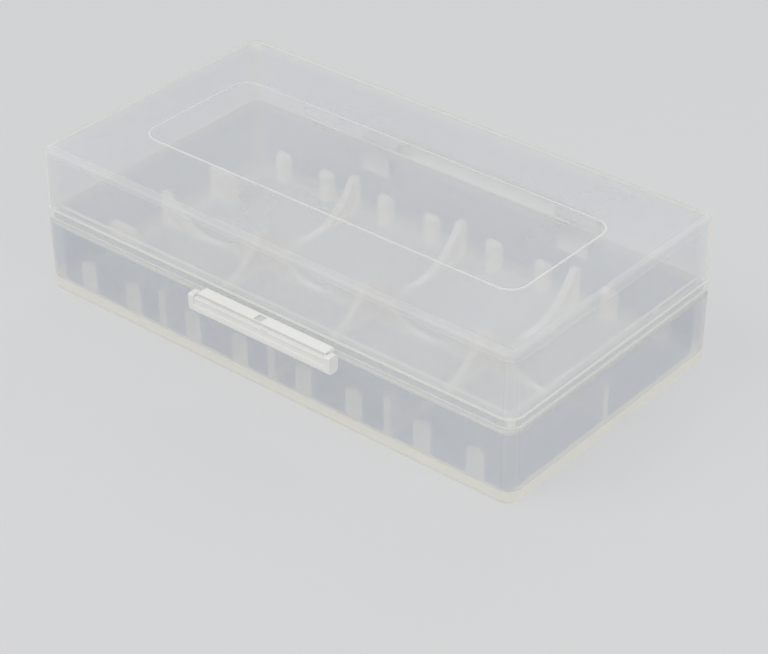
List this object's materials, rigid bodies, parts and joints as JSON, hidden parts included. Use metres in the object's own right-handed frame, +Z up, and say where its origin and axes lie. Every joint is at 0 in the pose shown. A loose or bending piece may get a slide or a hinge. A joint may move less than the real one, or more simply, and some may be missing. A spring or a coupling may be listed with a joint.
{
  "type": "battery case",
  "caption": "Small hinged clamshell case of milky plastic, ribbed inside to cradle round battery cells, with a snap hinge at the back and a latch flap at the front.",
  "frame": {"origin": "middle of the tray's underside, on the surface that the case rests on", "axes": "+X along the case, to the right as seen from the latch; +Y towards the hinge; +Z up"},
  "size_m": [0.076, 0.0463, 0.021],
  "materials": {
    "milky_shell": "satin, milky and see-through",
    "milky_latch": "satin, milky and see-through"
  },
  "bodies": {
    "base": {"base_tray": "milky_shell"},
    "lid": {"lid_cover": "milky_shell"},
    "latch": {"latch_flap": "milky_latch"}
  },
  "joints": [
    {"name": "lid_hinge", "type": "hinge", "parent": "base", "child": "lid", "pos_m": [0, 0.0222, 0.0105], "axis": [-1, 0, 0], "range_deg": [0, 180]},
    {"name": "latch_swing", "type": "hinge", "parent": "lid", "child": "latch", "pos_m": [0.0012, -0.02215, 0.0108], "axis": [-1, 0, 0], "range_deg": [0, 35], "stiffness_Nm_per_rad": 0.01}
  ]
}
